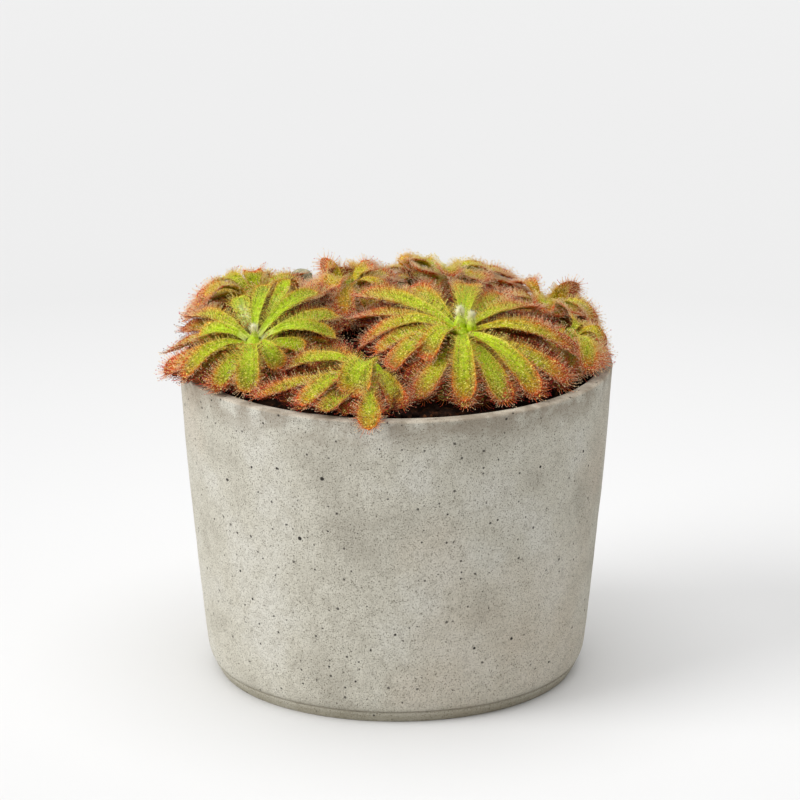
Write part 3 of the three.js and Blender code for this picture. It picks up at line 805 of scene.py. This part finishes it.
def pot_profile():
    """[radius, height] pairs from the middle of the foot, round the rim, to the middle of the floor."""
    top, floor = POT.height - POT.outer_edge, POT.floor
    outside = [[wall_radius(z), z] for z in np.linspace(POT.corner_height + 1, top, POT.rings)]
    inside = [[inner_radius(z), z] for z in np.linspace(top, floor + 3, POT.rings // 2)]
    floor_edge = inner_radius(floor) - POT.floor_edge
    bottom = [
        rounded([inner_radius(floor + 2), floor + 2], [inner_radius(floor), floor], [floor_edge, floor], 5),
        [[floor_edge / 2, floor], [HUB, floor]],
    ]
    return np.concatenate([*foot_profile(), outside, *rim_profile(), inside, *bottom])


def build_pot(material):
    """The cast pot, with the slight unevenness of its mould except on its foot."""
    profile = pot_profile()
    points = turned(profile[:, 0], profile[:, 1], POT.segments)
    radius, height = np.hypot(points[:, 0], points[:, 1]), points[:, 2]
    swell = POT.swell * rough(points, POT.swell_size)
    ripple = POT.ripple * rough(points + 60, POT.ripple_size)
    loose = np.clip(height / 3, 0, 1) * np.clip((radius - 25) / 10, 0, 1)
    points[:, :2] *= (1 + (swell + ripple) * loose / np.maximum(radius, 1))[:, None]
    return mesh_object("concrete_pot", [material], points, grid_faces(len(profile), POT.segments))


# ---- soil ----
def soil_top(radius):
    """Height of the soil at that radius."""
    share = np.minimum(1, radius / inner_radius(POT.height))
    return POT.height - SOIL.drop + SOIL.mound * (1 - share * share)


def icosahedron():
    """Corners and triangles of an icosahedron of radius 1."""
    golden = (1 + 5**0.5) / 2
    corners = []
    for a in (-1, 1):
        for b in (-golden, golden):
            corners += [(0, a, b), (a, b, 0), (b, 0, a)]
    corners = np.array(corners, dtype=float)
    faces = []
    for trio in itertools.combinations(range(12), 3):
        a, b, c = corners[list(trio)]
        if max(np.linalg.norm([a - b, b - c, c - a], axis=1)) < 2.1:
            outward = np.cross(b - a, c - a) @ (a + b + c) > 0
            faces.append(trio if outward else trio[::-1])
    return unit(corners), np.array(faces)


def add_crumbs(pile, edge, rng):
    """Irregular grains scattered over the soil."""
    corners, faces = icosahedron()
    for _ in range(SOIL.crumbs):
        angle, radius = rng.uniform(0, 2 * math.pi), (edge - 1.2) * math.sqrt(rng.random())
        place = round_about([angle])[0] * radius + UP * (soil_top(radius) + rng.uniform(-0.3, 0.5))
        stretch = rng.uniform(0.6, 1.3, 3) * rng.uniform(*SOIL.crumb_size)
        grain = corners * rng.uniform(0.7, 1.25, (12, 1)) * stretch + place
        pile.add(grain, faces, 0, [0.0, 0.0, rng.random()])


def build_soil(material):
    """The peat that fills the pot, lumpy on top and strewn with grains."""
    rng = np.random.default_rng(7)
    pile = Pile()
    edge = inner_radius(POT.height - SOIL.drop) - GAP
    bottom = inner_radius(POT.floor) - POT.floor_edge - GAP
    top = np.linspace(edge, HUB, SOIL.rings)
    radii = np.concatenate([[HUB, bottom], [inner_radius(z) - GAP for z in SOIL.side_rings], top])
    heights = np.concatenate([[POT.floor + GAP] * 2, SOIL.side_rings, soil_top(top)])
    points = turned(radii, heights, SOIL.segments)
    radius = np.hypot(points[:, 0], points[:, 1])
    loose = smooth((edge - radius) / 3) * (points[:, 2] > SOIL.side_rings[-1] + 1)
    lumps, clods = rough(points, SOIL.lump_size), rough(points + 40, SOIL.clod_size, 4)
    points[:, 2] += loose * (SOIL.lump * lumps + SOIL.clod * clods)
    pile.add(points, grid_faces(len(radii), SOIL.segments), 0, [0.0, 0.0, 0.5])
    add_crumbs(pile, edge, rng)
    return pile.build("peat_bed", [material])


# ---- materials ----
def srgb(r, g, b):
    """A colour given as 0 to 255 screen values, as the linear colour that a shader wants."""
    linear = [((c / 255 + 0.055) / 1.055) ** 2.4 if c > 10 else c / 255 / 12.92 for c in (r, g, b)]
    return (*linear, 1.0)


class Shader:
    """A material and short ways to add nodes to it. Its noises' scales are in features a metre."""

    def __init__(self, name, roughness, **sockets):
        self.material = bpy.data.materials.new(name)
        self.material.use_nodes = True
        self.tree = self.material.node_tree
        self.surface = self.tree.nodes["Principled BSDF"]
        self.surface.inputs["Roughness"].default_value = roughness
        for socket, value in sockets.items():
            self.surface.inputs[socket.replace("_", " ")].default_value = value

    def node(self, kind, inputs=None, **settings):
        """A new node with its inputs, each a value or another node's output."""
        node = self.tree.nodes.new("ShaderNode" + kind)
        for key, value in settings.items():
            setattr(node, key, value)
        for key, value in (inputs or {}).items():
            if isinstance(value, bpy.types.NodeSocket):
                self.tree.links.new(value, node.inputs[key])
            else:
                node.inputs[key].default_value = value
        return node

    def set(self, socket, value):
        self.tree.links.new(value, self.surface.inputs[socket])

    def place(self):
        return self.node("TexCoord").outputs["Object"]

    def height(self):
        """Height above the ground in mm."""
        return self.maths("DIVIDE", self.node("SeparateXYZ", {0: self.place()}).outputs["Z"], MM)

    def noise(self, scale, detail=3.0, roughness=0.55):
        inputs = {"Vector": self.place(), "Scale": scale, "Detail": detail, "Roughness": roughness}
        return self.node("TexNoise", inputs).outputs["Fac"]

    def maths(self, operation, *values):
        return self.node("Math", dict(enumerate(values)), operation=operation).outputs[0]

    def times(self, a, b):
        return self.maths("MULTIPLY", a, b)

    def off(self, value, place):
        """How far the value is from a place, either way."""
        return self.maths("ABSOLUTE", self.maths("SUBTRACT", value, place))

    def spread(self, value, low, high, to_low=0.0, to_high=1.0):
        """The value, taken from its range low..high to another range and kept within it."""
        inputs = {"Value": value, "From Min": low, "From Max": high, "To Min": to_low, "To Max": to_high}
        return self.node("MapRange", inputs).outputs[0]

    def ramp(self, value, stops):
        """Colours read off a band of (position, colour) stops."""
        node = self.node("ValToRGB", {0: value})
        band = node.color_ramp.elements
        while len(band) < len(stops):
            band.new(0.5)
        for element, (position, colour) in zip(band, stops):
            element.position = position
            element.color = srgb(*colour)
        return node.outputs["Color"]

    def mix(self, share, a, b, blend="MIX"):
        inputs = {0: share, 6: a, 7: b}
        return self.node("Mix", inputs, data_type="RGBA", blend_type=blend).outputs[2]

    def tint(self, base, *layers):
        """The base with (colour, share) layers over it."""
        for colour, share in layers:
            base = self.mix(share, base, srgb(*colour))
        return base

    def bump(self, height, strength, distance, normal=None):
        inputs = {"Height": height, "Strength": strength, "Distance": distance}
        if normal:
            inputs["Normal"] = normal
        return self.node("Bump", inputs).outputs["Normal"]

    def look(self):
        """The three values of the mesh's look attribute."""
        vector = self.node("Attribute", attribute_name="look").outputs["Vector"]
        parts = self.node("SeparateXYZ", {0: vector}).outputs
        return parts["X"], parts["Y"], parts["Z"]


def pores(s, scale, radius):
    """1 inside the air pores, which have several sizes up to radius / scale."""
    cells = s.node("TexVoronoi", {"Vector": s.place(), "Scale": scale}, feature="F1").outputs
    size = s.node("SeparateColor", {0: cells["Color"]}).outputs[0]
    ragged = s.maths("ADD", cells["Distance"], s.times(s.noise(scale * 9, 2), radius * 0.4))
    limit = s.spread(size, 0.35, 1, -radius * 0.5, radius * 1.3)
    return s.spread(s.maths("SUBTRACT", ragged, limit), -radius * 0.1, radius * 0.15, 1, 0)


def concrete_material():
    """Warm grey concrete, clouds, fine sand, a smudge under the rim; painted light on the rim, painted
    shade on pores, band and foot.
    """
    s = Shader("cast_concrete", roughness=0.88, Specular_IOR_Level=0.25)
    top, height = POT.height, s.height()
    mottle, sand = s.noise(420, 4, roughness=0.7), s.noise(3300, 2, roughness=0.6)
    base = s.ramp(s.noise(45, 4, roughness=0.6), CONCRETE.clouds)
    stain = (CONCRETE.stain, s.spread(s.noise(16, 3), 0.52, 0.68, 0, 0.45))
    base = s.tint(base, stain, (CONCRETE.mottle, s.spread(mottle, 0.5, 0.7, 0, 0.4)))
    base = s.mix(1.0, base, s.ramp(sand, CONCRETE.sand), "MULTIPLY")
    near_rim = s.times(s.spread(height, top - 8.7, top - 1.2), s.spread(s.noise(150, 5), 0.42, 0.58))
    from_band = s.off(height, POT.band_height + 0.4)
    pore = s.maths("MAXIMUM", pores(s, 170, 0.08), pores(s, 310, 0.1))
    pore = s.maths("MAXIMUM", pore, s.times(pores(s, 560, 0.17), 0.8))
    layers = [
        (CONCRETE.speckle, s.spread(s.noise(1500, 2), 0.58, 0.7, 0, 0.45)),
        # Painted light on the rim's top face.
        (CONCRETE.rim, s.spread(height, top - 0.6, top - 0.2, 0, 0.35)),
        (CONCRETE.smudge, s.times(near_rim, 0.6)),
        # Painted shade in the corner above the band and on the foot, which faces down.
        (CONCRETE.band, s.spread(from_band, 0.1, 0.5, 0.55, 0)),
        (CONCRETE.foot, s.spread(height, 1.5, 4.5, 0.5, 0)),
        # Painted shade in the pores.
        (CONCRETE.pore, s.times(pore, 0.95)),
    ]
    s.set("Base Color", s.tint(base, *layers))
    grit = s.bump(sand, 0.8, 0.0003, s.bump(mottle, 0.7, 0.0008))
    s.set("Normal", s.bump(s.maths("SUBTRACT", 1, pore), 0.9, 0.0004, grit))
    return s.material


def peat_material():
    """Near-black peat, dark in itself and darker by painted shade, with rusty crumbs, the palest like dry
    fibre.
    """
    s = Shader("peat", roughness=0.95, Specular_IOR_Level=0.2)
    tone = s.look()[2]
    base = s.ramp(s.noise(700, 5), PEAT.ground)
    s.set("Base Color", s.tint(base, (PEAT.fibre, s.spread(tone, 0.75, 1.0, 0, 0.6))))
    s.set("Normal", s.bump(s.noise(1500, 4), 0.8, 0.0004))
    return s.material


def leaf_material():
    """Pale at the root, lime, orange, then red, with a pale rolled margin, veins, specks, painted shade and
    painted glints.
    """
    s = Shader("sundew_leaf", roughness=0.42, Specular_IOR_Level=0.15)
    ripe, margin, dark = s.look()
    colours = BLADE_COLOURS
    mottled = s.maths("ADD", ripe, s.spread(s.noise(520, 4), 0.25, 0.75, -0.08, 0.08))
    rolled = s.spread(margin, 0.82, 0.94, 0, 0.7)
    base = s.mix(rolled, s.ramp(mottled, colours.face), s.ramp(ripe, colours.edge))
    # Painted shade: the blade's darkness mixes in the shadow colours.
    base = s.mix(s.times(dark, 0.9), base, s.ramp(ripe, colours.shadow))
    # Painted shade along a lengthwise fold on each half of the blade.
    crease = s.spread(s.off(margin, 0.52), 0.02, 0.14, 0.75, 0)
    outer = s.spread(mottled, 0.2, 0.4, 0.35, 1)
    layers = [
        (colours.midrib, s.spread(margin, 0.02, 0.14, 0.35, 0)),
        # Painted shade along the folds.
        (colours.crease, s.times(crease, s.spread(s.noise(260, 2), 0.44, 0.56))),
        (colours.vein, s.spread(s.noise(900, 3), 0.48, 0.66, 0, 0.45)),
        (colours.dark_speck, s.times(outer, s.spread(s.noise(1700, 2), 0.54, 0.62, 0, 0.6))),
        # Painted glints: pale specks over the outer blade.
        (colours.pale_speck, s.times(outer, s.spread(s.noise(2100, 1), 0.6, 0.66, 0, 0.8))),
    ]
    base = s.tint(base, *layers)
    withered = s.mix(dark, *(srgb(*colour) for colour in colours.withered))
    base = s.mix(s.spread(ripe, WITHERED - 0.6, WITHERED - 0.4), base, withered)
    dried = s.ramp(s.noise(620, 3), colours.dried)
    s.set("Base Color", s.mix(s.spread(ripe, DRIED - 0.6, DRIED - 0.4), base, dried))
    s.set("Normal", s.bump(s.noise(1400, 3), 0.35, 0.00025))
    return s.material


def hair_material():
    """Hairs from lime through orange to red by ripeness; dark ones at random and as painted shade, pale
    ones with painted glints.
    """
    coat = {"Coat_Weight": 0.12, "Coat_Roughness": 0.1}
    s = Shader("glandular_hair", roughness=0.3, Specular_IOR_Level=0.2, **coat)
    ripe, along, tone = s.look()
    young, old = s.ramp(along, HAIR_COLOURS.young), s.ramp(along, HAIR_COLOURS.old)
    base = s.mix(s.spread(ripe, 0.3, 0.75), young, old)
    # Dark hairs where the tone is low: at random, and as painted shade where an older leaf's shade lowers
    # it.
    base = s.tint(base, (HAIR_COLOURS.dark, s.spread(tone, 0.16, 0.26, 0.85, 0)))
    # Pale hairs: partly their own pale stalks, partly painted glints of the drops.
    pale_glint_share = s.times(s.spread(tone, 0.5, 0.57), s.spread(along, 0.1, 0.7))
    dew = s.mix(s.spread(ripe, 0.3, 0.7), *(srgb(*colour) for colour in HAIR_COLOURS.dew))
    s.set("Base Color", s.mix(s.times(pale_glint_share, 0.95), base, dew))
    return s.material


def silk_material():
    """Silky hairs, lime low on a bud and cream on its top, dull in places."""
    s = Shader("silky_hair", roughness=0.5, Specular_IOR_Level=0.3)
    level = s.look()[2]
    dull = (SILK_COLOURS.dull, s.spread(s.noise(1500, 2), 0.5, 0.62, 0, 0.5))
    s.set("Base Color", s.tint(s.ramp(level, SILK_COLOURS.tuft), dull))
    return s.material


def floor_material():
    """White paper with a painted pool of light, a little brighter under the pot."""
    s = Shader("pale_floor", roughness=0.9, Specular_IOR_Level=0.1)
    away = s.node("VectorMath", {0: s.place()}, operation="LENGTH").outputs["Value"]
    # Painted light: the floor is brighter round the pot.
    paper = s.ramp(s.spread(away, 0.1, 1.2), PAPER.outwards)
    s.set("Base Color", s.tint(paper, (PAPER.cloud, s.spread(s.noise(3, 2), 0.3, 0.7, 0, 0.3))))
    return s.material


# ---- stage ----
def add_sun(sun):
    """A far, wide light. Azimuth is in degrees from -X towards the front, softness the angle it fills."""
    light = bpy.data.lights.new(sun.name, "SUN")
    light.energy = sun.strength
    light.angle = math.radians(sun.softness)
    a, e = math.radians(sun.azimuth), math.radians(sun.elevation)
    place = Vector((-math.cos(a) * math.cos(e), -math.sin(a) * math.cos(e), math.sin(e)))
    obj = add_object(sun.name, light)
    obj.location = place
    obj.rotation_euler = (-place).to_track_quat("-Z", "Y").to_euler()


def build_stage():
    """A pale floor with a painted pool of light, under a wide soft light from the left, one from above and
    an even white sky.
    """
    points = FLOOR_HALF * np.array([(-1, -1, 0), (1, -1, 0), (1, 1, 0), (-1, 1, 0)])
    floor = mesh_object("floor", [floor_material()], points, [(0, 1, 2), (0, 2, 3)])
    world = bpy.data.worlds.new("sky")
    world.use_nodes = True
    sky = world.node_tree.nodes["Background"].inputs
    sky["Color"].default_value = (1, 1, 1, 1)
    sky["Strength"].default_value = SKY
    bpy.context.scene.world = world
    for sun in SUNS:
        add_sun(sun)


def build_camera():
    """A long lens in front of the pot, tilted down to it."""
    data = bpy.data.cameras.new("camera")
    data.lens = CAMERA.lens
    data.sensor_width = CAMERA.sensor
    camera = add_object("camera", data)
    camera.location = Vector(CAMERA.place) * MM
    camera.rotation_euler = (math.radians(CAMERA.tilt), 0, 0)
    bpy.context.scene.camera = camera


# ---- assembly ----
def dress(piece, node):
    """The piece stands for a CAD node, which it hides, and joins the root body."""
    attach(piece, "root")
    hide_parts(node)


def main():
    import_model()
    build_camera()
    build_stage()
    bpy.context.scene.view_settings.view_transform = "Standard"
    dress(build_pot(concrete_material()), "pot")
    dress(build_soil(peat_material()), "soil")
    plant_materials = [leaf_material(), hair_material(), silk_material()]
    for number, rosette in enumerate(ROSETTES):
        dress(build_rosette(number, rosette, plant_materials), "rosette_" + rosette["name"])


main()
